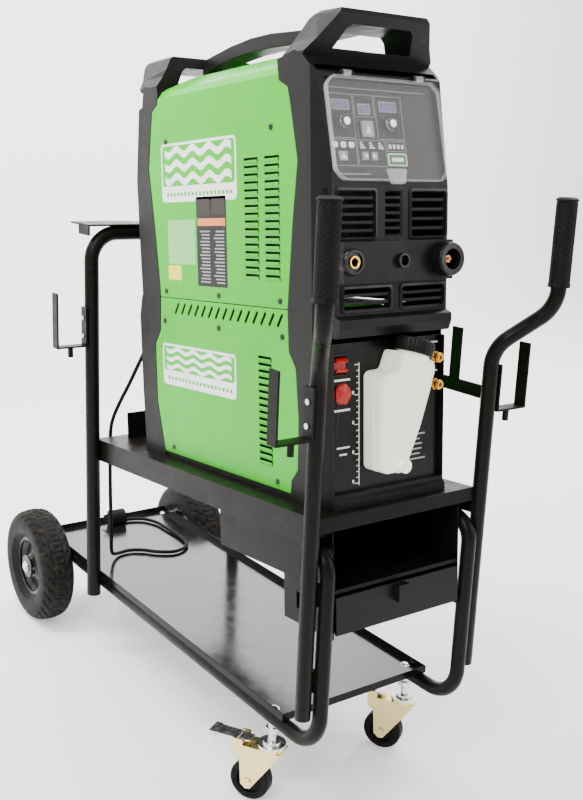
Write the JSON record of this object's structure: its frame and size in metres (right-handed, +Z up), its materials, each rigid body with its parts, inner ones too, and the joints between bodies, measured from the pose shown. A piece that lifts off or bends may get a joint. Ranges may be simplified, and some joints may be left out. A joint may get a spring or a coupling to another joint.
{
  "type": "tig welding machine",
  "caption": "Welding power source stacked on a liquid cooler, carried by a tube trolley with a lower tray, splayed handles, large rear wheels and front swivel casters.",
  "frame": {"origin": "on the floor under the middle of the bounding box", "axes": "+X to the operator's right, -Y out of the control face, +Z up"},
  "size_m": [0.566, 1.3484, 1.4278],
  "materials": {
    "powder_black": "satin powder coat",
    "tray_black": "gloss",
    "rim_black": "satin",
    "cover_green": "gloss powder coat",
    "zinc": "bright zinc",
    "steel_grey": "satin",
    "grip_rubber": "matt",
    "tyre_rubber": "matt",
    "bezel_plastic": "fine texture",
    "panel_black": "satin printed",
    "clear": "clear",
    "tank_white": "translucent",
    "brass": "polished",
    "signal_red": "gloss"
  },
  "bodies": {
    "cart": {"lower_tray": "tray_black", "side_loop_left": "powder_black", "side_loop_right": "powder_black", "front_post_left": "powder_black", "front_post_right": "powder_black", "handle_grips": "grip_rubber", "rear_hoop": "powder_black", "cylinder_rest": "powder_black", "upper_shelf": "powder_black", "storage_box": "powder_black", "accessory_hooks": "powder_black", "hook_screws": "zinc", "tray_bolts": "zinc", "rear_axle": "zinc", "axle_brackets": "powder_black", "caster_stems": "zinc", "welder_cover": "cover_green", "front_bezel": "bezel_plastic", "rear_bezel": "bezel_plastic", "carry_handle": "bezel_plastic", "control_panel": "panel_black", "front_grilles": "bezel_plastic", "connector_block": "bezel_plastic", "output_socket": "brass", "remote_socket": "bezel_plastic", "torch_connector": "bezel_plastic", "cover_screws": "bezel_plastic", "cooler_cover": "cover_green", "cooler_frame": "bezel_plastic", "cooler_panel": "panel_black", "coolant_tank": "tank_white", "flow_indicator": "signal_red", "coolant_ports": "brass", "inverter_core": "steel_grey", "coolant_pump": "steel_grey", "radiator": "steel_grey", "power_cord": "grip_rubber", "cord_gland": "grip_rubber", "power_plug": "grip_rubber"},
    "drawer": {"drawer": "bezel_plastic"},
    "wheel_left": {"tyre_left": "tyre_rubber", "rim_left": "rim_black"},
    "wheel_right": {"tyre_right": "tyre_rubber", "rim_right": "rim_black"},
    "caster_left": {"caster_fork_left": "zinc"},
    "caster_left_wheel": {"caster_wheel_left": "grip_rubber"},
    "caster_left_brake": {"caster_brake_left": "steel_grey"},
    "caster_right": {"caster_fork_right": "zinc"},
    "caster_right_wheel": {"caster_wheel_right": "grip_rubber"},
    "caster_right_brake": {"caster_brake_right": "steel_grey"},
    "current_knob": {"current_knob": "panel_black"},
    "pulse_knob": {"pulse_knob": "panel_black"},
    "select_button": {"select_button": "panel_black"},
    "up_button": {"up_button": "panel_black"},
    "left_button": {"left_button": "panel_black"},
    "right_button": {"right_button": "panel_black"},
    "lid": {"clear_lid": "clear"},
    "cap": {"tank_cap": "bezel_plastic"},
    "rocker": {"rocker_switch": "signal_red"},
    "fan": {"cooling_fan": "bezel_plastic"}
  },
  "joints": [
    {"name": "drawer_slide", "type": "slide", "parent": "cart", "child": "drawer", "axis": [0, -0.996, 0.0889], "range_m": [0, 0.12]},
    {"name": "wheel_left_spin", "type": "hinge", "parent": "cart", "child": "wheel_left", "pos_m": [-0.222, 0.53225, 0.142], "axis": [1, 0, 0], "continuous": true},
    {"name": "caster_left_swivel", "type": "hinge", "parent": "cart", "child": "caster_left", "pos_m": [-0.165, -0.44075, 0.118], "axis": [0, 0, 1], "continuous": true},
    {"name": "caster_left_roll", "type": "hinge", "parent": "caster_left", "child": "caster_left_wheel", "pos_m": [-0.185, -0.40611, 0.04], "axis": [0.866, 0.5, 0], "continuous": true},
    {"name": "caster_left_brake", "type": "hinge", "parent": "caster_left", "child": "caster_left_brake", "pos_m": [-0.196, -0.38706, 0.121], "axis": [-0.866, -0.5, 0], "range_deg": [0, 9]},
    {"name": "wheel_right_spin", "type": "hinge", "parent": "cart", "child": "wheel_right", "pos_m": [0.222, 0.53225, 0.142], "axis": [1, 0, 0], "continuous": true},
    {"name": "caster_right_swivel", "type": "hinge", "parent": "cart", "child": "caster_right", "pos_m": [0.165, -0.44075, 0.118], "axis": [0, 0, 1], "continuous": true},
    {"name": "caster_right_roll", "type": "hinge", "parent": "caster_right", "child": "caster_right_wheel", "pos_m": [0.145, -0.40611, 0.04], "axis": [0.866, 0.5, 0], "continuous": true},
    {"name": "caster_right_brake", "type": "hinge", "parent": "caster_right", "child": "caster_right_brake", "pos_m": [0.134, -0.38706, 0.121], "axis": [-0.866, -0.5, 0], "range_deg": [0, 9]},
    {"name": "current_knob_turn", "type": "hinge", "parent": "cart", "child": "current_knob", "pos_m": [-0.087, -0.46673, 1.2513], "axis": [0, -0.9627, 0.2706], "continuous": true},
    {"name": "pulse_knob_turn", "type": "hinge", "parent": "cart", "child": "pulse_knob", "pos_m": [0.012, -0.46673, 1.2513], "axis": [0, -0.9627, 0.2706], "continuous": true},
    {"name": "select_button_press", "type": "slide", "parent": "cart", "child": "select_button", "axis": [0, 0.9627, -0.2706], "range_m": [0, 0.002], "stiffness_N_per_m": 400, "springref_m": -0.001},
    {"name": "up_button_press", "type": "slide", "parent": "cart", "child": "up_button", "axis": [0, 0.9627, -0.2706], "range_m": [0, 0.0015], "stiffness_N_per_m": 400, "springref_m": -0.001},
    {"name": "left_button_press", "type": "slide", "parent": "cart", "child": "left_button", "axis": [0, 0.9627, -0.2706], "range_m": [0, 0.0015], "stiffness_N_per_m": 400, "springref_m": -0.001},
    {"name": "right_button_press", "type": "slide", "parent": "cart", "child": "right_button", "axis": [0, 0.9627, -0.2706], "range_m": [0, 0.0015], "stiffness_N_per_m": 400, "springref_m": -0.001},
    {"name": "lid_hinge", "type": "hinge", "parent": "cart", "child": "lid", "pos_m": [0, -0.45332, 1.32856], "axis": [-1, 0, 0], "range_deg": [0, 105]},
    {"name": "cap_turn", "type": "hinge", "parent": "cart", "child": "cap", "pos_m": [0.026, -0.54458, 0.8688], "axis": [0.309, 0.0845, 0.9473], "continuous": true},
    {"name": "rocker_tilt", "type": "hinge", "parent": "cart", "child": "rocker", "pos_m": [-0.105, -0.50672, 0.85438], "axis": [1, 0, 0], "range_deg": [0, 14]},
    {"name": "fan_spin", "type": "hinge", "parent": "cart", "child": "fan", "pos_m": [0, 0.11822, 1.03956], "axis": [0, 0.996, -0.0889], "continuous": true}
  ]
}
